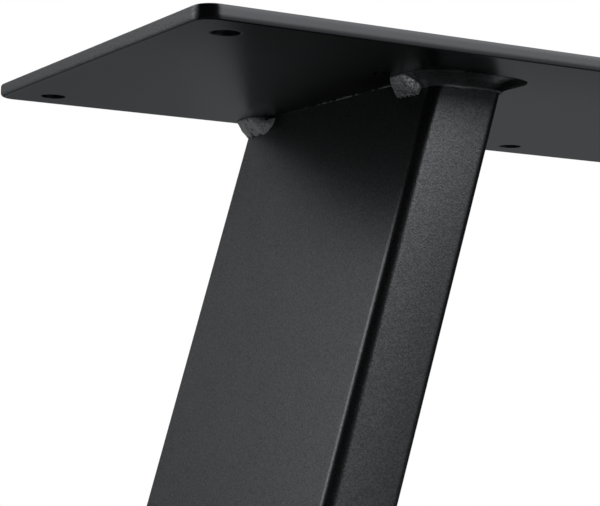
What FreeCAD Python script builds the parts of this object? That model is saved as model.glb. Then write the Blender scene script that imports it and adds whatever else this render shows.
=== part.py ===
import FreeCAD, Part
import math
import os
import Sketcher

# Driving dimensions of the trestle leg, in millimetres and degrees.
# The frame stands on its two feet: X runs along the plate, Y across it and Z up from the floor.
SIZES = {
    "frame_height": 720.0,
    "plate_length": 500.0,
    "plate_width": 130.0,
    "plate_thickness": 3.5,
    "plate_corner_radius": 5.0,
    "plate_edge_radius": 1.0,
    "hole_diameter": 6.5,
    "hole_pitch": 150.0,
    "hole_end_margin": 12.0,
    "hole_side_margin": 12.5,
    "tube_width": 100.0,
    "tube_depth": 20.0,
    "tube_wall": 2.0,
    "tube_corner_radius": 3.0,
    "bore_corner_radius": 1.0,
    "tube_back_ledge": 4.0,
    "leg_lean": 15.0,
    "weld_radius": 4.5,
    "weld_offset": 2.0,
    "weld_bend_margin": 0.8,
    "weld_edge_margin": 0.3,
    "weld_front_return": 10.0,
    "weld_back_return": 10.0,
    "plug_flange": 5.0,
    "plug_bevel": 0.8,
    "plug_insert_length": 30.0,
    "plug_wall": 2.0,
    "plug_clearance": 0.4,
    "rib_clearance": 0.05,
    "rib_thickness": 1.5,
    "rib_first": 9.0,
    "rib_pitch": 7.0,
    "rib_count": 3,
}
QUARTER_TURN = math.pi / 2
HALF_TURN_DEGREES = 180
LEVEL_TOLERANCE = 1e-6
RING_SIDES = 8
LEFT = -1
RIGHT = 1
FRONT = -1
BACK = 1

# Places worked out from the driving dimensions.
# The axis of each tube meets the top face of the plate at the middle of a group of four holes.
UNDERSIDE = "(Sizes.frame_height - Sizes.plate_thickness)"
HOLE_FAR = "(Sizes.plate_length / 2 - Sizes.hole_end_margin)"
HOLE_NEAR = f"({HOLE_FAR} - Sizes.hole_pitch)"
HOLE_SIDE = "(Sizes.plate_width / 2 - Sizes.hole_side_margin)"
AXIS_TOP = f"({HOLE_FAR} - Sizes.hole_pitch / 2)"
AXIS_JOINT = f"({AXIS_TOP} + Sizes.plate_thickness * tan(Sizes.leg_lean))"
AXIS_FLOOR = f"({AXIS_TOP} + Sizes.frame_height * tan(Sizes.leg_lean))"
TUBE_Y = "(Sizes.plate_width / 2 - Sizes.tube_back_ledge - Sizes.tube_width / 2)"
LEVEL_DEPTH = "(Sizes.tube_depth / cos(Sizes.leg_lean))"
BORE_DEPTH = "(Sizes.tube_depth - 2 * Sizes.tube_wall)"
BORE_WIDTH = "(Sizes.tube_width - 2 * Sizes.tube_wall)"
TRIM_SPAN = "(2 * (Sizes.tube_width + Sizes.tube_depth) + 8 * Sizes.weld_radius)"

doc = FreeCAD.newDocument("trestle_table_leg")


def make_sheet():
    """Write the driving dimensions into a sheet, one named cell each."""
    sheet = doc.addObject("Spreadsheet::Sheet", "Sizes")
    for row, (alias, value) in enumerate(SIZES.items(), start=1):
        sheet.set(f"A{row}", alias)
        sheet.set(f"B{row}", str(value))
        sheet.setAlias(f"B{row}", alias)
    doc.recompute()


def make_body(label, x, y, z):
    """Start a body whose origin sits at the given expressions."""
    body = doc.addObject("PartDesign::Body", label)
    body.Label = label
    body.setExpression("Placement.Base.x", x)
    body.setExpression("Placement.Base.y", y)
    body.setExpression("Placement.Base.z", z)
    return body


def make_sketch(body, name, plane="XY_Plane", height="0", tilt="0"):
    """Attach a sketch to an origin plane, tilted about its own Y axis and raised along its own normal."""
    sketch = body.newObject("Sketcher::SketchObject", name)
    support = next(item for item in body.Origin.OriginFeatures if item.Role == plane)
    sketch.AttachmentSupport = [(support, "")]
    sketch.MapMode = "FlatFace"
    turn = FreeCAD.Rotation(FreeCAD.Vector(0, 1, 0), 1)
    sketch.AttachmentOffset = FreeCAD.Placement(FreeCAD.Vector(), turn)
    sketch.setExpression("AttachmentOffset.Rotation.Angle", tilt)
    sketch.setExpression("AttachmentOffset.Base.x", f"({height}) * sin({tilt})")
    sketch.setExpression("AttachmentOffset.Base.z", f"({height}) * cos({tilt})")
    return sketch


def constrain(sketch, kind, *places, value=None, expression=None):
    """Add one constraint, bound to an expression where it carries a size."""
    if expression is None:
        sketch.addConstraint(Sketcher.Constraint(kind, *places))
        return
    index = sketch.addConstraint(Sketcher.Constraint(kind, *places, value))
    sketch.setExpression(f"Constraints[{index}]", expression)


def add_line(sketch, start, end):
    """Draw one straight line and give its index."""
    segment = Part.LineSegment(FreeCAD.Vector(*start, 0), FreeCAD.Vector(*end, 0))
    return sketch.addGeometry(segment)


def add_arc(sketch, centre, radius, first, last):
    """Draw one arc, anticlockwise between two angles in radians, and give its index."""
    circle = Part.Circle(FreeCAD.Vector(*centre, 0), FreeCAD.Vector(0, 0, 1), radius)
    return sketch.addGeometry(Part.ArcOfCircle(circle, first, last))


def rounded_rectangle(sketch, size_x, size_y, radius):
    """Draw a rectangle with round corners, centred on the sketch origin, sized by expressions."""
    half_x, half_y, bend = 40.0, 60.0, 5.0
    flat_x = half_x - bend
    flat_y = half_y - bend
    bottom = add_line(sketch, (-flat_x, -half_y), (flat_x, -half_y))
    right = add_line(sketch, (half_x, -flat_y), (half_x, flat_y))
    top = add_line(sketch, (flat_x, half_y), (-flat_x, half_y))
    left = add_line(sketch, (-half_x, flat_y), (-half_x, -flat_y))
    sides = [bottom, right, top, left]
    centres = [(flat_x, -flat_y), (flat_x, flat_y), (-flat_x, flat_y), (-flat_x, -flat_y)]
    corners = []
    for turn, centre in enumerate(centres, start=-1):
        corners.append(add_arc(sketch, centre, bend, turn * QUARTER_TURN, (turn + 1) * QUARTER_TURN))
    for index, corner in enumerate(corners):
        following = sides[(index + 1) % len(sides)]
        constrain(sketch, "Tangent", sides[index], 2, corner, 1)
        constrain(sketch, "Tangent", corner, 2, following, 1)
    for side in (bottom, top):
        constrain(sketch, "Horizontal", side)
    for side in (right, left):
        constrain(sketch, "Vertical", side)
    for corner in corners[1:]:
        constrain(sketch, "Equal", corners[0], corner)
    constrain(sketch, "Symmetric", corners[0], 3, corners[2], 3, -1, 1)
    constrain(sketch, "Radius", corners[0], value=bend, expression=radius)
    constrain(sketch, "DistanceX", left, 1, right, 2, value=2 * half_x, expression=size_x)
    constrain(sketch, "DistanceY", bottom, 1, top, 2, value=2 * half_y, expression=size_y)


def hook_path(sketch, half_span, cross_y, end_y, bend):
    """Draw a U-shaped path, closed towards +Y and symmetrical about the Y axis, sized by expressions."""
    span, reach, end, turn = 15.0, 40.0, 10.0, 5.0
    flat = span - turn
    side = reach - turn
    first = add_line(sketch, (-span, end), (-span, side))
    corner_a = add_arc(sketch, (-flat, side), turn, QUARTER_TURN, 2 * QUARTER_TURN)
    cross = add_line(sketch, (-flat, reach), (flat, reach))
    corner_b = add_arc(sketch, (flat, side), turn, 0, QUARTER_TURN)
    last = add_line(sketch, (span, side), (span, end))
    constrain(sketch, "Tangent", first, 2, corner_a, 2)
    constrain(sketch, "Tangent", corner_a, 1, cross, 1)
    constrain(sketch, "Tangent", cross, 2, corner_b, 2)
    constrain(sketch, "Tangent", corner_b, 1, last, 1)
    constrain(sketch, "Vertical", first)
    constrain(sketch, "Vertical", last)
    constrain(sketch, "Horizontal", cross)
    constrain(sketch, "Equal", corner_a, corner_b)
    constrain(sketch, "Symmetric", first, 1, last, 2, -2)
    constrain(sketch, "Radius", corner_a, value=turn, expression=bend)
    constrain(sketch, "DistanceX", -1, 1, last, 2, value=span, expression=half_span)
    constrain(sketch, "DistanceY", -1, 1, cross, 1, value=reach, expression=cross_y)
    constrain(sketch, "DistanceY", -1, 1, first, 1, value=end, expression=end_y)


def many_sided_ring(sketch, radius, half=False):
    """Draw a regular ring round the sketch origin with a corner at its top, or its right half only."""
    start_radius = 4.0
    count = RING_SIDES // 2 if half else RING_SIDES
    corners = []
    for index in range(count + 1):
        angle = QUARTER_TURN - 4 * QUARTER_TURN * index / RING_SIDES
        corners.append((start_radius * math.cos(angle), start_radius * math.sin(angle)))
    circle = Part.Circle(FreeCAD.Vector(), FreeCAD.Vector(0, 0, 1), start_radius)
    guide = sketch.addGeometry(circle, True)
    constrain(sketch, "Coincident", guide, 3, -1, 1)
    constrain(sketch, "Radius", guide, value=start_radius, expression=radius)
    sides = [add_line(sketch, *pair) for pair in zip(corners, corners[1:])]
    for side, following in zip(sides, sides[1:]):
        constrain(sketch, "Coincident", side, 2, following, 1)
        constrain(sketch, "Equal", side, following)
    for side in sides:
        constrain(sketch, "PointOnObject", side, 1, guide)
    constrain(sketch, "PointOnObject", sides[0], 1, -2)
    if not half:
        constrain(sketch, "Coincident", sides[-1], 2, sides[0], 1)
        return
    constrain(sketch, "PointOnObject", sides[-1], 2, guide)
    constrain(sketch, "PointOnObject", sides[-1], 2, -2)
    spine = add_line(sketch, corners[-1], corners[0])
    constrain(sketch, "Coincident", sides[-1], 2, spine, 1)
    constrain(sketch, "Coincident", spine, 2, sides[0], 1)


def pad(body, sketch, name, length):
    """Raise a sketch into a solid along its normal."""
    feature = body.newObject("PartDesign::Pad", name)
    feature.Profile = sketch
    feature.setExpression("Length", length)
    return feature


def cut_through(body, sketch, name, upward=False, both=False):
    """Cut a sketch right through its body, downwards, upwards or both ways."""
    feature = body.newObject("PartDesign::Pocket", name)
    feature.Profile = sketch
    feature.Type = "ThroughAll"
    feature.Reversed = upward
    if both:
        feature.SideType = "Two sides"
        feature.Type2 = "ThroughAll"
    return feature


def dress_level_faces(body, feature, kind, name, heights):
    """Round or bevel every edge of the level faces of a feature that lie at the given heights."""
    doc.recompute()
    faces = []
    for index, face in enumerate(feature.Shape.Faces, start=1):
        level = face.BoundBox.ZLength < LEVEL_TOLERANCE
        if level and any(abs(face.BoundBox.ZMin - height) < LEVEL_TOLERANCE for height in heights):
            faces.append(f"Face{index}")
    dressing = body.newObject(f"PartDesign::{kind}", name)
    dressing.Base = (feature, faces)
    return dressing


def signed(side, expression):
    """Give an expression its sign for the left or right leg."""
    return f"{side} * {expression}"


def make_top_plate():
    """Long plate with round corners, rounded edges and a group of four screw holes over each leg."""
    body = make_body("top_plate", "0", "0", UNDERSIDE)
    outline = make_sketch(body, "plate_outline")
    rounded_rectangle(outline, "Sizes.plate_length", "Sizes.plate_width", "Sizes.plate_corner_radius")
    slab = pad(body, outline, "plate_slab", "Sizes.plate_thickness")
    both_faces = [0, SIZES["plate_thickness"]]
    edges = dress_level_faces(body, slab, "Fillet", "plate_edges", both_faces)
    edges.setExpression("Radius", "Sizes.plate_edge_radius")

    group = make_sketch(body, "hole_group", height="Sizes.plate_thickness")
    start_radius, start_x, start_y = 3.0, [200.0, 100.0], 50.0
    holes = []
    for x in start_x:
        for y in (start_y, -start_y):
            circle = Part.Circle(FreeCAD.Vector(x, y, 0), FreeCAD.Vector(0, 0, 1), start_radius)
            holes.append(group.addGeometry(circle))
    end_back, end_front, inner_back, inner_front = holes
    for hole in holes[1:]:
        constrain(group, "Equal", end_back, hole)
    constrain(group, "Diameter", end_back, value=2 * start_radius, expression="Sizes.hole_diameter")
    constrain(group, "Symmetric", end_back, 3, end_front, 3, -1)
    constrain(group, "Symmetric", inner_back, 3, inner_front, 3, -1)
    constrain(group, "Horizontal", end_back, 3, inner_back, 3)
    constrain(group, "DistanceX", -1, 1, end_back, 3, value=start_x[0], expression=HOLE_FAR)
    constrain(group, "DistanceX", -1, 1, inner_back, 3, value=start_x[1], expression=HOLE_NEAR)
    constrain(group, "DistanceY", -1, 1, end_back, 3, value=start_y, expression=HOLE_SIDE)
    drilled = cut_through(body, group, "drilled_group")

    doc.recompute()
    mirrored = body.newObject("PartDesign::Mirrored", "both_groups")
    mirrored.Originals = [drilled]
    middle = next(item for item in body.Origin.OriginFeatures if item.Role == "YZ_Plane")
    mirrored.MirrorPlane = (middle, [""])
    body.Tip = mirrored
    return body


def make_leg_tube(side, label):
    """Rectangular tube that leans outwards, sawn level under the plate and above its foot."""
    body = make_body(label, signed(side, AXIS_FLOOR), TUBE_Y, "0")
    lean = signed(-side, "Sizes.leg_lean")
    section = make_sketch(body, f"{label}_section", height="-Sizes.tube_depth", tilt=lean)
    rounded_rectangle(section, "Sizes.tube_depth", "Sizes.tube_width", "Sizes.tube_corner_radius")
    rounded_rectangle(section, BORE_DEPTH, BORE_WIDTH, "Sizes.bore_corner_radius")
    pad(body, section, f"{label}_stock", "Sizes.frame_height / cos(Sizes.leg_lean) + 2 * Sizes.tube_depth")

    floor_saw = make_sketch(body, f"{label}_floor_saw", height="Sizes.plug_flange")
    rounded_rectangle(floor_saw, TRIM_SPAN, TRIM_SPAN, "Sizes.tube_corner_radius")
    cut_through(body, floor_saw, f"{label}_floor_end")

    plate_saw = make_sketch(body, f"{label}_plate_saw", height=UNDERSIDE)
    plate_saw.setExpression("AttachmentOffset.Base.x", signed(-side, f"({AXIS_FLOOR} - {AXIS_JOINT})"))
    rounded_rectangle(plate_saw, TRIM_SPAN, TRIM_SPAN, "Sizes.tube_corner_radius")
    cut_through(body, plate_saw, f"{label}_plate_end", upward=True)
    return body


def make_ring_sketch(body, name, x, y):
    """Attach an upright sketch across one end of a weld's path, with its origin on the path."""
    sketch = make_sketch(body, name, plane="XZ_Plane", height=f"-{y}")
    sketch.setExpression("AttachmentOffset.Base.x", x)
    return sketch


def make_weld(side, facing, label):
    """Fillet weld hooked round one narrow side of a tube, with a rounded start and stop.

    It is drawn round the back of the tube, and the front one is turned half round.
    """
    body = make_body(label, signed(side, AXIS_JOINT), TUBE_Y, UNDERSIDE)
    if facing == FRONT:
        body.Placement.Rotation = FreeCAD.Rotation(FreeCAD.Vector(0, 0, 1), HALF_TURN_DEGREES)
        reach = "(Sizes.tube_width / 2 + Sizes.weld_offset)"
        run = "Sizes.weld_front_return"
    else:
        ledge = "(Sizes.tube_back_ledge - Sizes.weld_edge_margin)"
        reach = f"(Sizes.tube_width / 2 + {ledge} - Sizes.weld_radius)"
        run = "Sizes.weld_back_return"
    half_span = f"({LEVEL_DEPTH} / 2 + Sizes.weld_offset)"
    end_y = f"(Sizes.tube_width / 2 - {run})"
    bend = "(Sizes.weld_radius + Sizes.weld_bend_margin)"
    path = make_sketch(body, f"{label}_path")
    hook_path(path, half_span, reach, end_y, bend)

    ring = make_ring_sketch(body, f"{label}_ring", f"-{half_span}", end_y)
    many_sided_ring(ring, "Sizes.weld_radius")
    doc.recompute()
    bead = body.newObject("PartDesign::AdditivePipe", f"{label}_bead")
    bead.Profile = ring
    bead.Spine = (path, [f"Edge{index}" for index in range(1, len(path.Shape.Edges) + 1)])

    for name, x in (("start", f"-{half_span}"), ("stop", half_span)):
        half_ring = make_ring_sketch(body, f"{label}_{name}_ring", x, end_y)
        many_sided_ring(half_ring, "Sizes.weld_radius", half=True)
        end = body.newObject("PartDesign::Revolution", f"{label}_{name}")
        end.Profile = half_ring
        end.ReferenceAxis = (half_ring, ["V_Axis"])
        end.Angle = HALF_TURN_DEGREES
        end.Reversed = True

    plate_face = make_sketch(body, f"{label}_plate_face")
    rounded_rectangle(plate_face, TRIM_SPAN, TRIM_SPAN, "Sizes.tube_corner_radius")
    cut_through(body, plate_face, f"{label}_under_plate", upward=True)

    lean = signed(-side * facing, "Sizes.leg_lean")
    tube_face = make_sketch(body, f"{label}_tube_face", tilt=lean)
    rounded_rectangle(tube_face, "Sizes.tube_depth", "Sizes.tube_width", "Sizes.tube_corner_radius")
    cut_through(body, tube_face, f"{label}_round_tube", both=True)
    return body


def make_foot_plug(side, label):
    """Moulded foot: a hollow ribbed insert inside the tube over a flange that stands on the floor."""
    body = make_body(label, signed(side, AXIS_FLOOR), TUBE_Y, "0")
    lean = signed(-side, "Sizes.leg_lean")
    insert_depth = f"({BORE_DEPTH} - 2 * Sizes.plug_clearance)"
    insert_width = f"({BORE_WIDTH} - 2 * Sizes.plug_clearance)"
    hollow_depth = f"({insert_depth} - 2 * Sizes.plug_wall)"
    hollow_width = f"({insert_width} - 2 * Sizes.plug_wall)"

    insert = make_sketch(body, f"{label}_insert_section", tilt=lean)
    rounded_rectangle(insert, insert_depth, insert_width, "Sizes.bore_corner_radius")
    rounded_rectangle(insert, hollow_depth, hollow_width, "Sizes.bore_corner_radius")
    pad(body, insert, f"{label}_insert", "Sizes.plug_insert_length")

    rib_section = make_sketch(body, f"{label}_rib_section", height="Sizes.rib_first", tilt=lean)
    rib_depth = f"({BORE_DEPTH} - 2 * Sizes.rib_clearance)"
    rib_width = f"({BORE_WIDTH} - 2 * Sizes.rib_clearance)"
    rounded_rectangle(rib_section, rib_depth, rib_width, "Sizes.bore_corner_radius")
    rounded_rectangle(rib_section, hollow_depth, hollow_width, "Sizes.bore_corner_radius")
    rib = pad(body, rib_section, f"{label}_rib", "Sizes.rib_thickness")
    doc.recompute()
    ribs = body.newObject("PartDesign::LinearPattern", f"{label}_ribs")
    ribs.Originals = [rib]
    ribs.Direction = (rib_section, ["N_Axis"])
    ribs.setExpression("Occurrences", "Sizes.rib_count")
    ribs.setExpression("Length", "Sizes.rib_pitch * (Sizes.rib_count - 1)")
    body.Tip = ribs

    level = make_sketch(body, f"{label}_level", height="Sizes.plug_flange")
    rounded_rectangle(level, TRIM_SPAN, TRIM_SPAN, "Sizes.tube_corner_radius")
    cut_through(body, level, f"{label}_insert_end")

    outline = make_sketch(body, f"{label}_flange_outline")
    rounded_rectangle(outline, LEVEL_DEPTH, "Sizes.tube_width", "Sizes.tube_corner_radius")
    flange = pad(body, outline, f"{label}_flange", "Sizes.plug_flange")
    flange.UseCustomVector = True
    flange.setExpression("Direction.x", f"sin({lean})")
    flange.setExpression("Direction.y", "0")
    flange.setExpression("Direction.z", f"cos({lean})")
    flange.AlongSketchNormal = True
    edges = dress_level_faces(body, flange, "Chamfer", f"{label}_floor_edges", [0])
    edges.setExpression("Size", "Sizes.plug_bevel")
    return body


def check(parts):
    """Stop unless every object was made and every part is one valid solid."""
    failed = [item.Name for item in doc.Objects if {"Invalid", "Error"} & set(item.State)]
    if failed:
        raise RuntimeError(f"not made: {failed}")
    for part in parts:
        if part.Shape.isNull() or not part.Shape.isValid():
            raise RuntimeError(f"no valid shape: {part.Label}")
        if len(part.Shape.Solids) != 1:
            raise RuntimeError(f"{part.Label} has {len(part.Shape.Solids)} solids")


def main():
    """Build every part of the frame and write one file for each."""
    make_sheet()
    parts = [make_top_plate()]
    for side, name in ((LEFT, "left"), (RIGHT, "right")):
        parts.append(make_leg_tube(side, f"leg_tube_{name}"))
        parts.append(make_weld(side, FRONT, f"weld_front_{name}"))
        parts.append(make_weld(side, BACK, f"weld_back_{name}"))
        parts.append(make_foot_plug(side, f"foot_plug_{name}"))
    doc.recompute()
    check(parts)
    os.makedirs("parts", exist_ok=True)
    for part in parts:
        part.Shape.exportStep(f"parts/{part.Label}.step")


main()
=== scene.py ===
# Looks of a welded steel trestle table leg: satin black powder coat, fillet weld beads and moulded feet.
import math
import bpy
from mathutils import Matrix, Vector


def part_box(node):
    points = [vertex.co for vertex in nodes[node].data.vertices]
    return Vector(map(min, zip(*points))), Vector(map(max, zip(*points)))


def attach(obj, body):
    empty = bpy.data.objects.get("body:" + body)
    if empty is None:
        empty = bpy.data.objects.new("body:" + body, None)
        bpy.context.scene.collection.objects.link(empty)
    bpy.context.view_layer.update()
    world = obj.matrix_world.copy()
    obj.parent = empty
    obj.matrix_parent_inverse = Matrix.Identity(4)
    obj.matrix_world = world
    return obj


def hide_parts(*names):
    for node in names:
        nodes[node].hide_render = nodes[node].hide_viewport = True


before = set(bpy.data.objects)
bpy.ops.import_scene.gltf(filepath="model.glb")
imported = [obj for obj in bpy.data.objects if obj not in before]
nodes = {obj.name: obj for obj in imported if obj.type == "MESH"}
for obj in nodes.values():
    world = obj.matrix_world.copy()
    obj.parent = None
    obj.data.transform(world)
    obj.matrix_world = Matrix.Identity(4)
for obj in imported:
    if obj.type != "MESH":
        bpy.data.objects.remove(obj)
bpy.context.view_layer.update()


# Sizes of the solids in metres, their places read from the frame to a hundredth of a millimetre
def hundredth(value):
    return round(value, 5)


plate_low, plate_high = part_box("top_plate")
tube_low, tube_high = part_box("leg_tube_right")
LEAN = math.radians(15.0)
LEAN_SLOPE = math.tan(LEAN)
TUBE_DEPTH = 0.020
TUBE_HALF_DEPTH = TUBE_DEPTH / 2.0 / math.cos(LEAN)
TUBE_FRONT = hundredth(tube_low.y)
TUBE_BACK = hundredth(tube_high.y)
JOINT_X = hundredth(tube_low.x + TUBE_HALF_DEPTH)
UNDERSIDE = hundredth(plate_low.z)
PLATE_MIDDLE = hundredth((plate_low.z + plate_high.z) / 2.0)
PLATE_HALF = PLATE_MIDDLE - UNDERSIDE
PLATE_FRONT = hundredth(plate_low.y)
PLATE_BACK = hundredth(plate_high.y)
PLATE_END = hundredth(plate_high.x)
LEFT = -1.0
RIGHT = 1.0
UP = (0.0, 0.0, 1.0)


# Small helpers for building node trees
def put(tree, kind, values=None, **settings):
    made = tree.nodes.new(kind)
    for key, value in settings.items():
        setattr(made, key, value)
    for key, value in (values or {}).items():
        socket = made.inputs[key]
        if isinstance(value, bpy.types.NodeSocket):
            tree.links.new(value, socket)
        else:
            socket.default_value = value
    return made


def work(tree, operation, first, second=0.0):
    made = put(tree, "ShaderNodeMath", {0: first, 1: second}, operation=operation)
    return made.outputs[0]


def product(tree, first, *others):
    for other in others:
        first = work(tree, "MULTIPLY", first, other)
    return first


def total(tree, first, *others):
    for other in others:
        first = work(tree, "ADD", first, other)
    return first


def less(tree, first, second):
    return work(tree, "SUBTRACT", first, second)


def ramp(tree, value, low, high, start, end):
    limits = {"Value": value, "From Min": low, "From Max": high, "To Min": start, "To Max": end}
    made = put(tree, "ShaderNodeMapRange", limits, interpolation_type="SMOOTHSTEP")
    return made.outputs["Result"]


def axes(tree, vector):
    return put(tree, "ShaderNodeSeparateXYZ", {0: vector}).outputs


def stretched(tree, vector, factor):
    values = {0: vector, "Scale": factor}
    return put(tree, "ShaderNodeVectorMath", values, operation="SCALE").outputs[0]


def vector_sum(tree, first, second):
    return put(tree, "ShaderNodeVectorMath", {0: first, 1: second}, operation="ADD").outputs[0]


def grain(tree, coordinates, size, detail=2.0):
    values = {"Vector": coordinates, "Scale": 1.0 / size, "Detail": detail}
    return put(tree, "ShaderNodeTexNoise", values).outputs[0]


# Parts of a noise's range that a finish is spread over
WIDE_RANGE = (0.25, 0.75)
MIDDLE_RANGE = (0.3, 0.7)
TIGHT_RANGE = (0.35, 0.65)


def speckle(tree, noise, limits):
    return less(tree, ramp(tree, noise, *limits, 0.0, 1.0), 0.5)


def two_tone(tree, factor, dark, light):
    values = {0: factor}
    for key, tone in ((6, dark), (7, light)):
        values[key] = (*tone, 1.0) if isinstance(tone, tuple) else tone
    return put(tree, "ShaderNodeMix", values, data_type="RGBA").outputs[2]


def raised(tree, height, distance, below=None):
    values = {"Height": height, "Distance": distance, "Strength": 1.0}
    if below is not None:
        values["Normal"] = below
    return put(tree, "ShaderNodeBump", values).outputs[0]


COOL_GLEAM = (0.935, 0.96, 1.0, 1.0)


def new_material(name):
    material = bpy.data.materials.new(name)
    material.use_nodes = True
    tree = material.node_tree
    tree.nodes.clear()
    shader = put(tree, "ShaderNodeBsdfPrincipled")
    put(tree, "ShaderNodeOutputMaterial", {"Surface": shader.outputs[0]})
    place = put(tree, "ShaderNodeTexCoord").outputs["Object"]
    shader.inputs["Specular Tint"].default_value = COOL_GLEAM
    return material, tree, shader, place


def wear(tree, shader, looks):
    for name, look in looks.items():
        tree.links.new(look, shader.inputs[name])


# Powder coat: near black with faint clouds, a fine peel and specks that stand a little proud
COAT_DARK = (0.0010, 0.0011, 0.0012)
COAT_LIGHT = (0.0019, 0.0020, 0.0022)
COAT_CLOUD = 0.045
GLOSS_CLOUD = 0.012
PEEL_GRAIN = 0.0004
SPECK_PITCH = 0.0008
SPECK_CORE = 0.05
SPECK_RIM = 0.24
SPECK_RARITY = 3.0


def new_coat(name, gloss):
    material, tree, shader, place = new_material(name)
    colour = two_tone(tree, grain(tree, place, COAT_CLOUD, 3.0), COAT_DARK, COAT_LIGHT)
    roughness = ramp(tree, grain(tree, place, GLOSS_CLOUD, 3.0), *WIDE_RANGE, *gloss)
    return material, tree, shader, place, colour, roughness


def coat_relief(tree, place, peel_height, speck_height, below=None):
    peel = raised(tree, grain(tree, place, PEEL_GRAIN, 1.0), peel_height, below)
    cells = put(tree, "ShaderNodeTexVoronoi", {"Vector": place, "Scale": 1.0 / SPECK_PITCH})
    speck = ramp(tree, cells.outputs["Distance"], SPECK_CORE, SPECK_RIM, 1.0, 0.0)
    chance = put(tree, "ShaderNodeSeparateColor", {0: cells.outputs["Color"]}).outputs[0]
    few = product(tree, speck, work(tree, "POWER", chance, SPECK_RARITY))
    return raised(tree, few, speck_height, peel)


# Coat of the plate: smooth flat faces, grainy sawn ends, rounded hole rims and a tight arris
PLATE_GLOSS = (0.203, 0.213)
PLATE_PEEL = 0.0000006
PLATE_SPECK = 0.0000004
RIM_RADIUS = 0.0009
RIM_SAMPLES = 6
ARRIS_PULL = (5.0, 5.0, 1.0)
FLAT_ROUGHER = 1.27
SAWN_ROUGHER = 1.9
SAWN_GRAIN = 0.0005
SAWN_SPECKLE = 0.6
PLATE_SHINE = 0.5
SAWN_SHINE = 0.6
LONG_EDGE_SHINE = 0.85
FLAT_LIKENESS = (0.985, 0.999)
FLAT_SKIN = (PLATE_HALF - 0.00003, PLATE_HALF - 0.00001)
UNDER_SKIN = (UNDERSIDE + 0.00001, UNDERSIDE + 0.0002)
EDGE_START = 0.0009
EDGE_FULL = 0.0004
FRONT_FADE = (PLATE_FRONT - 0.001, PLATE_FRONT + 0.055)
FRONT_FADE_SHINE = 0.42
END_FADE = (PLATE_END - 0.045, PLATE_END)
END_FADE_SHINE = 0.66

# Painted shade: a patch of the underside at the outer side of each tube, next to the front weld, where
# the shine drops
TUBE_SIDE = JOINT_X + TUBE_HALF_DEPTH
PATCH_INNER = (JOINT_X - 0.001, JOINT_X + 0.001)
PATCH_OUTER = (TUBE_SIDE + 0.004, TUBE_SIDE + 0.020)
PATCH_FRONT = (TUBE_FRONT - 0.006, TUBE_FRONT + 0.002)
PATCH_BACK = (TUBE_FRONT + 0.015, TUBE_FRONT + 0.033)
PATCH_SHINE = 0.15


def edge_zone(tree, distance, outline, inside, on_edge):
    return ramp(tree, distance, outline - EDGE_START, outline - EDGE_FULL, inside, on_edge)


def plate_roughness(tree, spot, along, roughness, rounded):
    facing = put(tree, "ShaderNodeNewGeometry").outputs["True Normal"]
    likeness = put(tree, "ShaderNodeVectorMath", {0: rounded, 1: facing}, operation="DOT_PRODUCT")
    rougher = ramp(tree, likeness.outputs["Value"], *FLAT_LIKENESS, 1.0, FLAT_ROUGHER)
    from_middle = work(tree, "ABSOLUTE", less(tree, spot[2], PLATE_MIDDLE))
    flat = ramp(tree, from_middle, *FLAT_SKIN, 1.0, rougher)
    sawn = edge_zone(tree, along, PLATE_END, 1.0, SAWN_ROUGHER)
    return product(tree, roughness, flat, sawn)


# Painted shade: the underside's shine falls to PATCH_SHINE in this patch beside the tube
def painted_dark_patch(tree, spot, along):
    inner = ramp(tree, along, *PATCH_INNER, 1.0, 0.0)
    outer = ramp(tree, along, *PATCH_OUTER, PATCH_SHINE, 1.0)
    front = ramp(tree, spot[1], *PATCH_FRONT, 1.0, 0.0)
    back = ramp(tree, spot[1], *PATCH_BACK, 0.0, 1.0)
    across = work(tree, "MAXIMUM", inner, outer)
    return work(tree, "MAXIMUM", across, work(tree, "MAXIMUM", front, back))


def plate_shine(tree, place, spot, along):
    sawn_depth = edge_zone(tree, along, PLATE_END, 0.0, SAWN_SPECKLE)
    sawn = product(tree, speckle(tree, grain(tree, place, SAWN_GRAIN), MIDDLE_RANGE), sawn_depth)
    shine = total(tree, sawn, edge_zone(tree, along, PLATE_END, PLATE_SHINE, SAWN_SHINE))
    front_fade = ramp(tree, spot[1], *FRONT_FADE, FRONT_FADE_SHINE, 1.0)
    end_fade = ramp(tree, along, *END_FADE, 1.0, END_FADE_SHINE)
    under = product(tree, front_fade, end_fade, painted_dark_patch(tree, spot, along))
    above = ramp(tree, spot[2], *UNDER_SKIN, 0.0, 1.0)
    long_edge = edge_zone(tree, work(tree, "ABSOLUTE", spot[1]), PLATE_BACK, 1.0, LONG_EDGE_SHINE)
    return product(tree, shine, work(tree, "MAXIMUM", above, under), long_edge)


def tight_arris(tree, rounded):
    pulled = put(tree, "ShaderNodeVectorMath", {0: rounded, 1: ARRIS_PULL}, operation="MULTIPLY")
    return put(tree, "ShaderNodeVectorMath", {0: pulled.outputs[0]}, operation="NORMALIZE").outputs[0]


def plate_coat():
    material, tree, shader, place, colour, roughness = new_coat("satin_black_plate_coat", PLATE_GLOSS)
    spot = axes(tree, place)
    along = work(tree, "ABSOLUTE", spot[0])
    rounded = put(tree, "ShaderNodeBevel", {"Radius": RIM_RADIUS}, samples=RIM_SAMPLES).outputs[0]
    looks = {"Base Color": colour}
    looks["Roughness"] = plate_roughness(tree, spot, along, roughness, rounded)
    looks["Specular IOR Level"] = plate_shine(tree, place, spot, along)
    looks["Normal"] = coat_relief(tree, place, PLATE_PEEL, PLATE_SPECK, tight_arris(tree, rounded))
    wear(tree, shader, looks)
    return material
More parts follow.
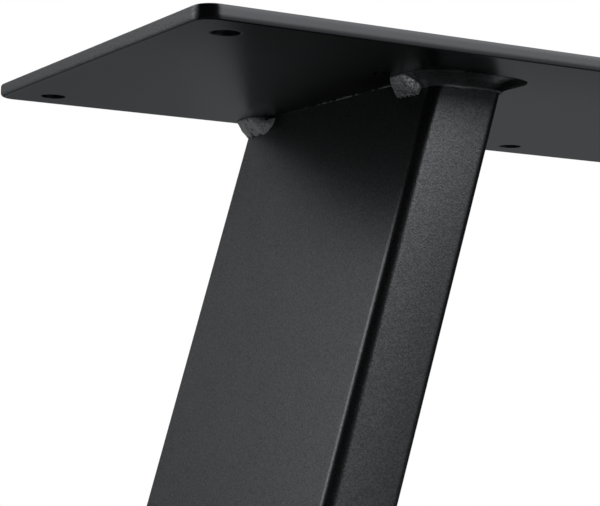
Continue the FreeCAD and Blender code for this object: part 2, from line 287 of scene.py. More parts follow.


# Coat of the tubes: grainier, with a painted shade as shine fading towards the plate and across the
# front narrow face, and a broken painted highlight line in the joint
TUBE_GLOSS = (0.30, 0.33)
TUBE_PEEL = 0.00003
TUBE_SPECK = 0.00004
TUBE_GRAIN = 0.00045
TUBE_SHINE = 0.52
NARROW_SPECKLE = 0.26
WIDE_SPECKLE = 0.44
WIDE_FACE = (TUBE_FRONT + 0.001, TUBE_FRONT + 0.004)
# Painted shade: heights over which the tube's shine fades towards the plate, and its share from the
# inner to the outer edge of the front narrow face
NARROW_FADE = (UNDERSIDE - 0.0185, UNDERSIDE - 0.004)
WIDE_FADE = (UNDERSIDE - 0.0525, UNDERSIDE - 0.004)
FADE_SHINE = 0.62
INNER_SHINE = 0.78
OUTER_SHINE = 1.22
# Painted highlight in the joint: its light tone, its band under the plate, its breaks and its fading
# towards the back
JOINT_HIGHLIGHT_TONE = (0.15, 0.152, 0.155)
JOINT_BAND = (UNDERSIDE - 0.00026, UNDERSIDE - 0.00016)
JOINT_BREAK = 0.0028
JOINT_BREAK_RANGE = (0.45, 0.56)
JOINT_THINNING = (TUBE_FRONT + 0.057, TUBE_FRONT + 0.069)
JOINT_THINNEST = 0.1


# Painted highlight: a broken light grey line just under the plate, fainter towards the back
def joint_highlight(tree, place, spot):
    near_plate = ramp(tree, spot[2], *JOINT_BAND, 0.0, 1.0)
    breaks = ramp(tree, grain(tree, place, JOINT_BREAK, 3.0), *JOINT_BREAK_RANGE, 0.0, 1.0)
    thinning = ramp(tree, spot[1], *JOINT_THINNING, 1.0, JOINT_THINNEST)
    return product(tree, near_plate, breaks, thinning)


def tube_shine(tree, place, spot):
    wide = ramp(tree, spot[1], *WIDE_FACE, 0.0, 1.0)
    depth = ramp(tree, wide, 0.0, 1.0, NARROW_SPECKLE, WIDE_SPECKLE)
    fine = product(tree, speckle(tree, grain(tree, place, TUBE_GRAIN), MIDDLE_RANGE), depth)
    # Painted shade across the front narrow face: its shine is lower at the inner edge and higher at the
    # outer edge
    lean_out = product(tree, less(tree, UNDERSIDE, spot[2]), LEAN_SLOPE)
    from_middle = less(tree, work(tree, "ABSOLUTE", spot[0]), total(tree, lean_out, JOINT_X))
    outer = ramp(tree, from_middle, -TUBE_HALF_DEPTH, TUBE_HALF_DEPTH, INNER_SHINE, OUTER_SHINE)
    # Painted shade under the plate: the shine fades towards the underside, further down the rest of the
    # tube than the front narrow face
    narrow_fade = product(tree, ramp(tree, spot[2], *NARROW_FADE, 1.0, FADE_SHINE), outer)
    wide_fade = ramp(tree, spot[2], *WIDE_FADE, 1.0, FADE_SHINE)
    fade = put(tree, "ShaderNodeMix", {0: wide, 2: narrow_fade, 3: wide_fade}, data_type="FLOAT")
    return product(tree, total(tree, fine, TUBE_SHINE), fade.outputs[0])


def tube_coat():
    material, tree, shader, place, colour, roughness = new_coat("satin_black_tube_coat", TUBE_GLOSS)
    spot = axes(tree, place)
    looks = {"Roughness": roughness}
    looks["Base Color"] = two_tone(tree, joint_highlight(tree, place, spot), colour, JOINT_HIGHLIGHT_TONE)
    looks["Specular IOR Level"] = tube_shine(tree, place, spot)
    looks["Normal"] = coat_relief(tree, place, TUBE_PEEL, TUBE_SPECK)
    wear(tree, shader, looks)
    return material


# Coat of the weld beads: dark runs with a painted shade towards the end away from the stub, gritty
# crowns with pits whose light grey is partly a painted highlight, and a broken rim and lip with a
# painted highlight
RUN_DARK = (0.0012, 0.0013, 0.0014)
RUN_LIGHT = (0.0190, 0.0194, 0.0200)
# Crown tones: light grey that is partly a painted highlight on the gritty stub
CROWN_DARK = (0.04, 0.041, 0.043)
CROWN_LIGHT = (0.21, 0.213, 0.217)
# Painted highlight: light grey of the broken rim and lip
RIM_HIGHLIGHT_TONE = (0.50, 0.503, 0.508)
WELD_CLOUD = 0.003
WELD_GRIT = 0.00042
WELD_GRIT_HEIGHT = 0.0004
RUN_GRIT_SHARE = 0.15
PIT_PITCH = 0.0028
PIT_EDGE = (0.13, 0.22)
PIT_DEPTH = 0.0003
RIM_HIGHLIGHT_BREAKS = (0.4, 0.6)
RIM_HIGHLIGHT_LEAST = 0.2
RUN_SHINE = 0.3
BRIGHT_SHINE = 0.85
WELD_GLOSS = (0.26, 0.42)


def attribute(tree, name):
    return put(tree, "ShaderNodeAttribute", attribute_name=name).outputs["Fac"]


def weld_coat():
    material, tree, shader, place = new_material("coated_weld_bead")
    crown = attribute(tree, "crown")
    coarse = attribute(tree, "coarse")
    shade = attribute(tree, "shade")
    cloud = grain(tree, place, WELD_CLOUD, 3.0)
    grit = grain(tree, place, WELD_GRIT)
    cells = put(tree, "ShaderNodeTexVoronoi", {"Vector": place, "Scale": 1.0 / PIT_PITCH})
    pit = ramp(tree, cells.outputs["Distance"], *PIT_EDGE, 0.0, 1.0)
    # Painted shade: the run's tone darkens towards the end away from the stub
    run_tone = two_tone(tree, product(tree, cloud, shade), RUN_DARK, RUN_LIGHT)
    sparkle = total(tree, product(tree, speckle(tree, grit, TIGHT_RANGE), coarse), 0.5)
    # Gritty crown tone: the speckle is grit, and the light grey is a painted highlight of light caught
    # by the stub
    crown_grey_and_highlight = two_tone(tree, sparkle, CROWN_DARK, CROWN_LIGHT)
    tone = two_tone(tree, product(tree, crown, pit), run_tone, crown_grey_and_highlight)
    # Painted highlight: a broken light grey line on the rim and lip, which also gets more shine
    painted_rim_highlight = product(tree, attribute(tree, "rim"), ramp(tree, grit, *RIM_HIGHLIGHT_BREAKS, RIM_HIGHLIGHT_LEAST, 1.0))
    bright = put(tree, "ShaderNodeMath", {0: crown, 1: painted_rim_highlight}, operation="ADD", use_clamp=True)
    shine = ramp(tree, bright.outputs[0], 0.0, 1.0, RUN_SHINE, BRIGHT_SHINE)
    crown_grit = product(tree, crown, coarse, 1.0 - RUN_GRIT_SHARE)
    roughened = product(tree, grit, total(tree, crown_grit, RUN_GRIT_SHARE))
    surface = raised(tree, roughened, WELD_GRIT_HEIGHT)
    looks = {"Base Color": two_tone(tree, painted_rim_highlight, tone, RIM_HIGHLIGHT_TONE)}
    # Painted shade also takes the shine down towards the end away from the stub
    looks["Specular IOR Level"] = product(tree, shine, shade)
    looks["Roughness"] = ramp(tree, cloud, *MIDDLE_RANGE, *WELD_GLOSS)
    looks["Normal"] = raised(tree, product(tree, pit, crown), PIT_DEPTH, surface)
    wear(tree, shader, looks)
    return material


# Moulded plastic of the floor plugs
PLASTIC_DARK = (0.011, 0.011, 0.0115)
PLASTIC_LIGHT = (0.017, 0.017, 0.0175)
PLASTIC_CLOUD = 0.02
PLASTIC_GRAIN = 0.0005
PLASTIC_GRAIN_HEIGHT = 0.00003
PLASTIC_GLOSS = (0.5, 0.62)


def moulded_plastic():
    material, tree, shader, place = new_material("moulded_black_plastic")
    cloud = grain(tree, place, PLASTIC_CLOUD)
    looks = {"Base Color": two_tone(tree, cloud, PLASTIC_DARK, PLASTIC_LIGHT)}
    looks["Roughness"] = ramp(tree, cloud, *WIDE_RANGE, *PLASTIC_GLOSS)
    looks["Normal"] = raised(tree, grain(tree, place, PLASTIC_GRAIN), PLASTIC_GRAIN_HEIGHT)
    wear(tree, shader, looks)
    return material


WELD_COAT = weld_coat()
FINISHES = {"top": plate_coat(), "leg": tube_coat(), "weld": WELD_COAT, "foot": moulded_plastic()}

for name, node in nodes.items():
    first_word = name.split("_")[0]
    node.data.materials.clear()
    node.data.materials.append(FINISHES[first_word])


# Where the beads end along the wide faces of the tubes
FRONT_RETURN_END = -0.0266
BACK_RETURN_END = 0.0486

# Weld beads: a fillet swept round the end of a tube, with a crowned stub, lumps, ripples and spatter
BEAD_SIZES = {
    "Plate Leg": 0.0063,
    "Tube Leg": 0.0029,
    "Root Depth": 0.0008,
    "Corner Radius": 0.0031,
    "Step": 0.00028,
    "End Rounding": 0.0010,
    "End Length": 0.0064,
    "End Blend": 0.0008,
    "End Slant": 0.0045,
    "Slant Length": 0.006,
    "End Depth": 0.28,
    "End Bow": 0.85,
    # Share of the crowns' light grey, partly a painted highlight
    "End Tone": 0.6,
    "Coarseness": 1.0,
    "Grit Height": 0.0004,
    "Fine Grit Height": 0.00005,
    "Face Bow": 1.3,
    "Lip Start": 0.0115,
    "Lip Full": 0.0145,
    "Lip Height": 0.00045,
    "Rim Rise": 0.0002,
    "Rim Top": 0.0005,
    "Rim End": 0.0011,
    "Rim Height": 0.0005,
    "Stub Side": LEFT,
    "Scallop": 0.0011,
    "Scallop Depth": 0.26,
    "Lump Size": 0.0045,
    "Lump Height": 0.0010,
    "Ripple Pitch": 0.0016,
    "Ripple Lag": 0.0012,
    "Ripple Height": 0.00003,
    # Painted shade: where the bead's colour and shine begin to darken, and where they are darkest
    "Shade Start": 0.0255,
    "Shade Full": 0.0295,
    "Lean": LEAN_SLOPE,
    "Cross Line": PLATE_BACK,
    "Cross Reach": 1.0,
    "Underside": UNDERSIDE,
    "Spatter Reach": 0.009,
    "Spatter Radius": 0.00032,
}

# A back bead is crowned all along, and stops short of the plate's back edge
BACK_LEG = 0.0046
BACK_EDGE_MARGIN = 0.0004
BACK_BEAD_CHANGES = {
    "Plate Leg": BACK_LEG,
    "Tube Leg": 0.0032,
    "Cross Line": TUBE_BACK,
    "Cross Reach": (PLATE_BACK - BACK_EDGE_MARGIN - TUBE_BACK) / BACK_LEG,
    "End Length": 0.2,
    "End Rounding": 0.0030,
    "End Bow": 0.87,
    "End Tone": 0.88,
    "Scallop": 0.0026,
    "Ripple Height": 0.00001,
    "Coarseness": 0.6,
}
SPATTER_COUNT = 5
CORNER_PARTS = 12
FACE_CUTS = 19
SLOPE_EDGE = (0.95, 0.99)
WALL_EDGE = (-0.0002, -0.00001)
LIP_BAND = (0.84, 0.93)
SWELLS_PER_METRE = 160.0
SWELL_SHARE = 0.22
LEAST_SWELL = 0.89
LEAST_END = 0.15
GRITS_PER_METRE = 1500.0
# Painted shade: least share of colour and shine at the end away from the stub
DARKEST_SHADE = 0.01
# Painted highlight: least and greatest share of the light line along the lip
LIP_HIGHLIGHT_SHARES = (0.04, 0.17)
SPATTER_ZONE = 0.16
SPATTER_SPREAD = (0.5, 1.4)
STRAY_SEED = 7.0
DROP_SIZE_SEED = 19.0


def bead_inputs(tree):
    face = tree.interface
    face.new_socket(name="Geometry", in_out="INPUT", socket_type="NodeSocketGeometry")
    for name in BEAD_SIZES:
        face.new_socket(name=name, in_out="INPUT", socket_type="NodeSocketFloat")
    for name in ("Spatter Count", "Seed"):
        face.new_socket(name=name, in_out="INPUT", socket_type="NodeSocketInt")
    face.new_socket(name="Finish", in_out="INPUT", socket_type="NodeSocketMaterial")
    face.new_socket(name="Geometry", in_out="OUTPUT", socket_type="NodeSocketGeometry")
    return put(tree, "NodeGroupInput").outputs


def captured(tree, geometry, numbers, vectors=None):
    made = put(tree, "GeometryNodeCaptureAttribute", {"Geometry": geometry})
    vectors = vectors or {}
    for name in numbers:
        made.capture_items.new("FLOAT", name)
    for name in vectors:
        made.capture_items.new("VECTOR", name)
    for name, field in {**numbers, **vectors}.items():
        tree.links.new(field, made.inputs[name])
    return made.outputs


def place_noise(tree, scale, detail):
    return put(tree, "ShaderNodeTexNoise", {"Scale": scale, "Detail": detail}).outputs[0]


# Line of the joint, with rounded corners
def joint_path(tree, given):
    line = put(tree, "GeometryNodeMeshToCurve", {"Mesh": given["Geometry"]}).outputs[0]
    corner = {"Curve": line, "Radius": given["Corner Radius"], "Count": CORNER_PARTS}
    return put(tree, "GeometryNodeFilletCurve", corner, mode="POLY").outputs[0]


# Size of the bead along the line: it swells a little, and rounds off at both ends
def bead_scale(tree, given, from_end):
    values = {0: from_end, 1: given["End Rounding"]}
    share = put(tree, "ShaderNodeMath", values, operation="DIVIDE", use_clamp=True).outputs[0]
    short = work(tree, "POWER", less(tree, 1.0, share), 2.0)
    round_end = work(tree, "SQRT", less(tree, 1.0, short))
    swell = product(tree, place_noise(tree, SWELLS_PER_METRE, 1.0), SWELL_SHARE)
    swell = total(tree, swell, LEAST_SWELL)
    return product(tree, work(tree, "MAXIMUM", round_end, LEAST_END), swell)


def marked_path(tree, given, path):
    even = {"Curve": path, "Length": given["Step"]}
    steps = put(tree, "GeometryNodeResampleCurve", even, mode="LENGTH").outputs[0]
    along = put(tree, "GeometryNodeSplineParameter").outputs["Length"]
    whole = put(tree, "GeometryNodeSplineLength").outputs["Length"]
    to_go = less(tree, whole, along)
    stub_last = work(tree, "GREATER_THAN", given["Stub Side"], 0.0)
    from_stub = total(tree, along, product(tree, less(tree, to_go, along), stub_last))
    size = bead_scale(tree, given, work(tree, "MINIMUM", along, to_go))
    tangent = put(tree, "GeometryNodeInputTangent").outputs[0]
    sideways = put(tree, "ShaderNodeVectorMath", {0: tangent, 1: UP}, operation="CROSS_PRODUCT")
    numbers = {"Along": along, "From Stub": from_stub, "Size": size}
    return captured(tree, steps, numbers, {"Outward": sideways.outputs[0]})


# Section of the bead: a flat fillet with a root inside the tube wall
def bead_section(tree, given):
    inside = product(tree, given["Root Depth"], -1.0)
    corners = {"Point 1": (given["Plate Leg"], 0.0), "Point 2": (0.0, given["Tube Leg"])}
    corners["Point 3"] = (inside, given["Tube Leg"])
    corners["Point 4"] = (inside, 0.0)
    values = {}
    for name, (out, down) in corners.items():
        values[name] = put(tree, "ShaderNodeCombineXYZ", {0: out, 1: down}).outputs[0]
    outline = put(tree, "GeometryNodeCurvePrimitiveQuadrilateral", values, mode="POINTS").outputs[0]
    fine = put(tree, "GeometryNodeSubdivideCurve", {"Curve": outline, "Cuts": FACE_CUTS}).outputs[0]
    spot = axes(tree, put(tree, "GeometryNodeInputPosition").outputs[0])
    out_share = work(tree, "DIVIDE", spot[0], given["Plate Leg"])
    down_share = work(tree, "DIVIDE", spot[1], given["Tube Leg"])
    on_slope = ramp(tree, total(tree, out_share, down_share), *SLOPE_EDGE, 0.0, 1.0)
    outside = ramp(tree, spot[0], *WALL_EDGE, 0.0, 1.0)
    return captured(tree, fine, {"Down Share": down_share, "On Face": product(tree, on_slope, outside)})


def stub_share(tree, given, marks):
    stop = total(tree, given["End Length"], given["End Blend"])
    return ramp(tree, marks["From Stub"], given["End Length"], stop, 1.0, 0.0)


# A thin lip along the tube, past the stub and its return
def lip_share(tree, given, marks, section, near_end):
    low_part = ramp(tree, section["Down Share"], *LIP_BAND, 0.0, 1.0)
    past_return = ramp(tree, marks["From Stub"], given["Lip Start"], given["Lip Full"], 0.0, 1.0)
    return product(tree, low_part, less(tree, 1.0, near_end), past_return)


# The face is hollow along the run, and crowned and scalloped at the stub
def face_flow(tree, given, marks, section, near_end, lip):
    down = section["Down Share"]
    across = less(tree, 1.0, down)
    bow_span = less(tree, given["End Bow"], given["Face Bow"])
    bow = total(tree, given["Face Bow"], product(tree, near_end, bow_span))
    turns = product(tree, work(tree, "DIVIDE", marks["Along"], given["Scallop"]), math.pi)
    scallop = product(tree, work(tree, "ABSOLUTE", work(tree, "SINE", turns)), given["Scallop Depth"])
    extra = product(tree, near_end, total(tree, given["End Depth"], scallop))
    deeper = total(tree, extra, 1.0)
    move_out = less(tree, work(tree, "POWER", across, bow), across)
    move_down = less(tree, product(tree, work(tree, "POWER", down, bow), deeper), down)
    size_out = product(tree, given["Plate Leg"], marks["Size"])
    size_down = product(tree, given["Tube Leg"], marks["Size"])
    push_out = total(tree, product(tree, move_out, size_out), product(tree, lip, given["Lip Height"]))
    flow_out = stretched(tree, marks["Outward"], product(tree, push_out, section["On Face"]))
    push_down = product(tree, move_down, size_down, section["On Face"])
    slant = ramp(tree, marks["From Stub"], 0.0, given["Slant Length"], 1.0, 0.0)
    slant = product(tree, slant, down, given["End Slant"])
    flow_down = put(tree, "ShaderNodeCombineXYZ", {1: slant, 2: product(tree, push_down, -1.0)})
    return vector_sum(tree, flow_out, flow_down.outputs[0])


# An arch over the face: nought at both toes and one in the middle
def face_arch(tree, down):
    return product(tree, down, less(tree, 1.0, down), 4.0)


# A rim where the stub stops, highest in the middle of the face
def rim_share(tree, given, marks, arch):
    start = less(tree, given["End Length"], given["Rim Rise"])
    top = total(tree, given["End Length"], given["Rim Top"])
    end = total(tree, given["End Length"], given["Rim End"])
    rise = ramp(tree, marks["From Stub"], start, top, 0.0, 1.0)
    fall = ramp(tree, marks["From Stub"], top, end, 1.0, 0.0)
    return product(tree, rise, fall, arch)


# Lumps, grit and ripples of the face, and the height of its rim
def face_rise(tree, given, marks, arch, near_end, lumps, rim):
    lump = product(tree, less(tree, lumps, 0.5), given["Lump Height"])
    noise = place_noise(tree, GRITS_PER_METRE, 2.0)
    coarse_height = product(tree, near_end, given["Coarseness"], given["Grit Height"])
    grit_height = total(tree, coarse_height, given["Fine Grit Height"])
    grit = product(tree, less(tree, noise, 0.5), grit_height)
    drawn = total(tree, marks["Along"], product(tree, arch, given["Ripple Lag"]))
    turns = product(tree, work(tree, "DIVIDE", drawn, given["Ripple Pitch"]), 2.0 * math.pi)
    ripple = product(tree, work(tree, "SINE", turns), given["Ripple Height"])
    return total(tree, lump, grit, ripple, product(tree, rim, given["Rim Height"]))


# Lean with the tube, stay under the plate and keep inside its back edge
def settled_place(tree, given):
    place = axes(tree, put(tree, "GeometryNodeInputPosition").outputs[0])
    drop = less(tree, given["Underside"], place[2])
    leaned = total(tree, place[0], product(tree, drop, given["Lean"]))
    past = work(tree, "MAXIMUM", less(tree, place[1], given["Cross Line"]), 0.0)
    held_back = product(tree, past, less(tree, 1.0, given["Cross Reach"]))
    capped = work(tree, "MINIMUM", place[2], given["Underside"])
    values = {0: leaned, 1: less(tree, place[1], held_back), 2: capped}
    return put(tree, "ShaderNodeCombineXYZ", values).outputs[0]


# Spatter on the plate round the bead
def chance_value(tree, order, seed, spread=(0.0, 1.0)):
    values = {"ID": order, "Seed": seed, 2: spread[0], 3: spread[1]}
    return put(tree, "FunctionNodeRandomValue", values, data_type="FLOAT").outputs[1]


def spatter(tree, given, path):
    drops = put(tree, "GeometryNodePoints", {"Count": given["Spatter Count"]}).outputs[0]
    order = put(tree, "GeometryNodeInputIndex").outputs[0]
    chance = chance_value(tree, order, given["Seed"])
    along = product(tree, work(tree, "FRACT", product(tree, chance, 2.0)), SPATTER_ZONE)
    where = put(tree, "GeometryNodeSampleCurve", {"Curves": path, "Factor": along}, mode="FACTOR")
    stray = chance_value(tree, order, total(tree, given["Seed"], STRAY_SEED))
    reach = product(tree, work(tree, "POWER", stray, 2.0), given["Spatter Reach"])
    aside = stretched(tree, where.outputs["Normal"], total(tree, given["Plate Leg"], reach))
    landed = vector_sum(tree, where.outputs["Position"], aside)
    drops = put(tree, "GeometryNodeSetPosition", {"Geometry": drops, "Position": landed}).outputs[0]
    values = {"Radius": given["Spatter Radius"], "Subdivisions": 2}
    ball = put(tree, "GeometryNodeMeshIcoSphere", values).outputs[0]
    size = chance_value(tree, order, total(tree, given["Seed"], DROP_SIZE_SEED), SPATTER_SPREAD)
    values = {"Points": drops, "Instance": ball, "Scale": size}
    return put(tree, "GeometryNodeInstanceOnPoints", values).outputs[0]


def bead_tree():
    tree = bpy.data.node_groups.new("weld_bead", "GeometryNodeTree")
    tree.is_modifier = True
    given = bead_inputs(tree)
    path = joint_path(tree, given)
    marks = marked_path(tree, given, path)
    section = bead_section(tree, given)
    values = {"Curve": marks["Geometry"], "Profile Curve": section["Geometry"]}
    values["Scale"] = marks["Size"]
    values["Fill Caps"] = True
    bead = put(tree, "GeometryNodeCurveToMesh", values).outputs[0]

    # Shape of the face
    near_end = stub_share(tree, given, marks)
    lip = lip_share(tree, given, marks, section, near_end)
    flow = face_flow(tree, given, marks, section, near_end, lip)
    bead = put(tree, "GeometryNodeSetPosition", {"Geometry": bead, "Offset": flow}).outputs[0]
    arch = face_arch(tree, section["Down Share"])
    rim = rim_share(tree, given, marks, arch)
    lumps = place_noise(tree, work(tree, "DIVIDE", 1.0, given["Lump Size"]), 2.0)
    rise = face_rise(tree, given, marks, arch, near_end, lumps, rim)
    rise = product(tree, rise, section["On Face"])
    swelling = stretched(tree, put(tree, "GeometryNodeInputNormal").outputs[0], rise)
    bead = put(tree, "GeometryNodeSetPosition", {"Geometry": bead, "Offset": swelling}).outputs[0]
    place = settled_place(tree, given)
    bead = put(tree, "GeometryNodeSetPosition", {"Geometry": bead, "Position": place}).outputs[0]

    # Marks that the finish reads: crown, a painted highlight on rim and lip, coarseness, and a painted
    # shade towards the end away from the stub
    # Painted highlight: a broken light line along the lip, joined with the rim
    lip_highlight = product(tree, lip, ramp(tree, lumps, *TIGHT_RANGE, *LIP_HIGHLIGHT_SHARES))
    bright = product(tree, work(tree, "MAXIMUM", lip_highlight, rim), section["On Face"])
    shade_limits = (given["Shade Start"], given["Shade Full"])
    shares = {"crown": product(tree, near_end, given["End Tone"]), "rim": bright}
    shares["coarse"] = given["Coarseness"]
    # Painted shade: colour and shine darken towards the end away from the stub
    shares["shade"] = ramp(tree, marks["From Stub"], *shade_limits, 1.0, DARKEST_SHADE)
    for name, share in shares.items():
        values = {"Geometry": bead, "Name": name, "Value": share}
        bead = put(tree, "GeometryNodeStoreNamedAttribute", values).outputs[0]

    # One plain mesh with its finish
    both = put(tree, "GeometryNodeJoinGeometry")
    tree.links.new(bead, both.inputs[0])
    tree.links.new(spatter(tree, given, path), both.inputs[0])
    plain = put(tree, "GeometryNodeRealizeInstances", {"Geometry": both.outputs[0]}).outputs[0]
    smooth = put(tree, "GeometryNodeSetShadeSmooth", {"Geometry": plain}).outputs[0]
    values = {"Geometry": smooth, "Material": given["Finish"]}
    painted = put(tree, "GeometryNodeSetMaterial", values).outputs[0]
    put(tree, "NodeGroupOutput", {"Geometry": painted})
    return tree


BEAD_TREE = bead_tree()


def plain_mesh(name, points, inputs):
    line = bpy.data.meshes.new(name + "_line")
    edges = [(i, i + 1) for i in range(len(points) - 1)]
    line.from_pydata(points, edges, [])
    piece = bpy.data.objects.new(name, line)
    bpy.context.scene.collection.objects.link(piece)
    maker = piece.modifiers.new("weld_bead", "NODES")
    maker.node_group = BEAD_TREE
    for item in BEAD_TREE.interface.items_tree:
        if item.in_out == "INPUT" and item.name in inputs:
            maker[item.identifier] = inputs[item.name]
    bpy.context.view_layer.update()
    view = bpy.context.evaluated_depsgraph_get()
    piece.data = bpy.data.meshes.new_from_object(piece.evaluated_get(view))
    piece.data.name = name
    piece.modifiers.clear()
    return piece


def weld_bead(name, node, side, cross, end, seed):
    inner = side * JOINT_X - TUBE_HALF_DEPTH
    outer = side * JOINT_X + TUBE_HALF_DEPTH
    corners = [(inner, end), (inner, cross), (outer, cross), (outer, end)]
    points = [(x, y, UNDERSIDE) for x, y in corners]
    inputs = dict(BEAD_SIZES)
    inputs["Stub Side"] = side
    if cross > end:
        points.reverse()
        inputs.update(BACK_BEAD_CHANGES)
        inputs["Stub Side"] = -side
    inputs["Lean"] = side * LEAN_SLOPE
    inputs["End Slant"] = math.copysign(BEAD_SIZES["End Slant"], end - cross)
    inputs["Spatter Count"] = SPATTER_COUNT
    inputs["Seed"] = seed
    inputs["Finish"] = WELD_COAT
    piece = plain_mesh(name, points, inputs)
    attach(piece, "root")
    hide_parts(node)


weld_bead("bead_front_left", "weld_front_left", LEFT, TUBE_FRONT, FRONT_RETURN_END, seed=3)
weld_bead("bead_back_left", "weld_back_left", LEFT, TUBE_BACK, BACK_RETURN_END, seed=11)
weld_bead("bead_front_right", "weld_front_right", RIGHT, TUBE_FRONT, FRONT_RETURN_END, seed=23)
weld_bead("bead_back_right", "weld_back_right", RIGHT, TUBE_BACK, BACK_RETURN_END, seed=37)


# Studio: pale floor, white surround, two soft boxes, and cards that only reflections show
STUDIO_CENTRE = Vector((-0.16, 0.0, 0.70))
FLOOR_RADIUS = 9.0
FLOOR_SIDES = 96
FLOOR_CLOUD = 0.6
FLOOR_DARK = (0.78, 0.78, 0.78)
FLOOR_LIGHT = (0.82, 0.82, 0.82)
FLOOR_ROUGHNESS = 0.8
LAMP_TINT = (0.97, 0.985, 1.0)
LAMP_POWER = 4.0
LAMP_DISTANCE = 1.8
CARD_PARTS = 24
CARD_RADIUS = 2.8
CARD_FOOT = 0.02
CARD_LIFT = 0.003
CARD_CLOUD = 0.4
CARD_DARK = (0.92, 0.96, 1.0)
CARD_LIGHT = (0.95, 0.98, 1.0)
SURROUND_LIGHT = 0.62


def round_floor():
    corners = []
    for i in range(FLOOR_SIDES):
        turn = 2.0 * math.pi * i / FLOOR_SIDES
        corners.append((FLOOR_RADIUS * math.cos(turn), FLOOR_RADIUS * math.sin(turn), 0.0))
    mesh = bpy.data.meshes.new("floor")
    mesh.from_pydata(corners, [], [list(range(FLOOR_SIDES))])
    floor = bpy.data.objects.new("floor", mesh)
    bpy.context.scene.collection.objects.link(floor)
    material, tree, shader, place = new_material("pale_floor")
    tone = two_tone(tree, grain(tree, place, FLOOR_CLOUD), FLOOR_DARK, FLOOR_LIGHT)
    tree.links.new(tone, shader.inputs["Base Color"])
    shader.inputs["Roughness"].default_value = FLOOR_ROUGHNESS
    shader.inputs["Specular IOR Level"].default_value = 0.0
    mesh.materials.append(material)


def towards(azimuth, elevation):
    turn = math.radians(azimuth)
    lift = math.radians(elevation)
    flat = math.cos(lift)
    return Vector((math.cos(turn) * flat, math.sin(turn) * flat, math.sin(lift)))


def soft_box(name, azimuth, elevation, width, height, brightness):
    lamp = bpy.data.lights.new(name, "AREA")
    lamp.shape = "RECTANGLE"
    lamp.size = width
    lamp.size_y = height
    lamp.energy = LAMP_POWER * width * height * brightness
    lamp.color = LAMP_TINT
    box = bpy.data.objects.new(name, lamp)
    away = towards(azimuth, elevation)
    box.location = STUDIO_CENTRE + away * LAMP_DISTANCE
    box.rotation_mode = "QUATERNION"
    box.rotation_quaternion = (-away).to_track_quat("-Z", "Y")
    box.visible_camera = False
    bpy.context.scene.collection.objects.link(box)


def reflection_card(name, near_points, far_points, level):
    corners = []
    for near, far in zip(near_points, far_points):
        corners.extend((near, far))
    faces = [(2 * i, 2 * i + 1, 2 * i + 3, 2 * i + 2) for i in range(CARD_PARTS)]
    mesh = bpy.data.meshes.new(name)
    mesh.from_pydata(corners, [], faces)
    card = bpy.data.objects.new(name, mesh)
    bpy.context.scene.collection.objects.link(card)
    material = bpy.data.materials.new(name + "_face")
    material.use_nodes = True
    tree = material.node_tree
    tree.nodes.clear()
    place = put(tree, "ShaderNodeTexCoord").outputs["Object"]
    tone = two_tone(tree, grain(tree, place, CARD_CLOUD), CARD_DARK, CARD_LIGHT)
    glow = put(tree, "ShaderNodeEmission", {"Color": tone, "Strength": level})
    put(tree, "ShaderNodeOutputMaterial", {"Surface": glow.outputs[0]})
    mesh.materials.append(material)
    card.visible_camera = False
    card.visible_diffuse = False
    card.visible_shadow = False


def arc(start, end, radius, height):
    points = []
    for i in range(CARD_PARTS + 1):
        turn = math.radians(start + (end - start) * i / CARD_PARTS)
        x = STUDIO_CENTRE.x + radius * math.cos(turn)
        y = STUDIO_CENTRE.y + radius * math.sin(turn)
        points.append((x, y, height))
    return points


def upright_card(name, start, end, high, level, low=CARD_FOOT, radius=CARD_RADIUS):
    reflection_card(name, arc(start, end, radius, low), arc(start, end, radius, high), level)


def floor_card(name, start, end, inner, outer, level):
    near_points = arc(start, end, inner, CARD_LIFT)
    reflection_card(name, near_points, arc(start, end, outer, CARD_LIFT), level)


def white_surround():
    world = bpy.data.worlds.new("white_surround")
    bpy.context.scene.world = world
    world.use_nodes = True
    tree = world.node_tree
    tree.nodes.clear()
    ray = put(tree, "ShaderNodeLightPath").outputs
    seen = work(tree, "MAXIMUM", ray["Is Camera Ray"], ray["Is Glossy Ray"])
    seen = work(tree, "MAXIMUM", seen, ray["Is Transmission Ray"])
    soft = put(tree, "ShaderNodeBackground", {"Color": (*LAMP_TINT, 1.0), "Strength": SURROUND_LIGHT})
    white = put(tree, "ShaderNodeBackground", {"Color": (1.0, 1.0, 1.0, 1.0), "Strength": 1.0})
    both = put(tree, "ShaderNodeMixShader", {0: seen, 1: soft.outputs[0], 2: white.outputs[0]})
    put(tree, "ShaderNodeOutputWorld", {"Surface": both.outputs[0]})


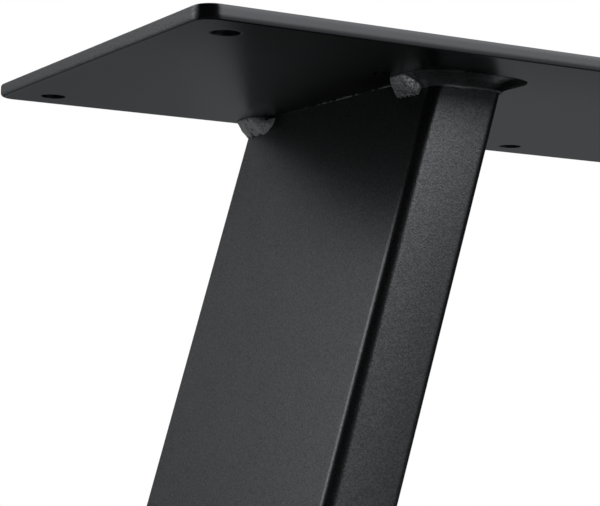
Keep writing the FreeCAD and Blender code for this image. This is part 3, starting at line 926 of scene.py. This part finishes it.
# Camera: close to the left joint, below the plate and looking slightly up
CAMERA_PLACE = (-0.41083, -0.40695, 0.63672)
CAMERA_FORWARD = (0.47623, 0.87564, 0.08036)
CAMERA_RIGHT = (0.87715, -0.47949, 0.02659)
CAMERA_LENS = 109.13
CAMERA_SENSOR = 36.0
CAMERA_NEAR = 0.01
CAMERA_FAR = 100.0


def close_camera():
    lens = bpy.data.cameras.new("camera")
    lens.sensor_width = CAMERA_SENSOR
    lens.lens = CAMERA_LENS
    lens.clip_start = CAMERA_NEAR
    lens.clip_end = CAMERA_FAR
    camera = bpy.data.objects.new("camera", lens)
    bpy.context.scene.collection.objects.link(camera)
    forward = Vector(CAMERA_FORWARD).normalized()
    right = Vector(CAMERA_RIGHT)
    right = (right - forward * right.dot(forward)).normalized()
    up = right.cross(forward)
    turn = Matrix((right, up, -forward)).transposed()
    camera.matrix_world = Matrix.Translation(CAMERA_PLACE) @ turn.to_4x4()
    bpy.context.scene.camera = camera


round_floor()
soft_box("left_soft_box", azimuth=139.0, elevation=18.0, width=0.9, height=1.0, brightness=2.2)
soft_box("right_soft_box", azimuth=299.0, elevation=31.0, width=1.6, height=1.4, brightness=2.55)
upright_card("camera_card", start=152.0, end=281.0, high=3.2, level=0.003, radius=2.2)
upright_card("right_card", start=330.0, end=408.0, high=3.2, level=0.02)
upright_card("back_card", start=74.0, end=165.0, low=1.0, high=5.0, level=0.255)
upright_card("lower_back_card", start=74.0, end=165.0, high=1.0, level=0.13)
upright_card("low_back_card_right", start=44.0, end=66.0, high=1.7, level=0.122)
upright_card("low_back_card_left", start=66.0, end=74.0, high=1.7, level=0.075)
upright_card("front_card", start=275.0, end=330.0, low=0.85, high=1.3, level=0.73)
floor_card("front_floor_card", start=140.0, end=390.0, inner=0.01, outer=2.1, level=0.08)
floor_card("near_back_floor_card", start=30.0, end=140.0, inner=0.01, outer=1.9, level=0.42)
floor_card("back_floor_card", start=30.0, end=140.0, inner=1.9, outer=8.9, level=0.29)
floor_card("far_floor_card", start=140.0, end=390.0, inner=2.1, outer=8.9, level=0.9)
white_surround()
close_camera()
bpy.context.scene.view_settings.view_transform = "Standard"
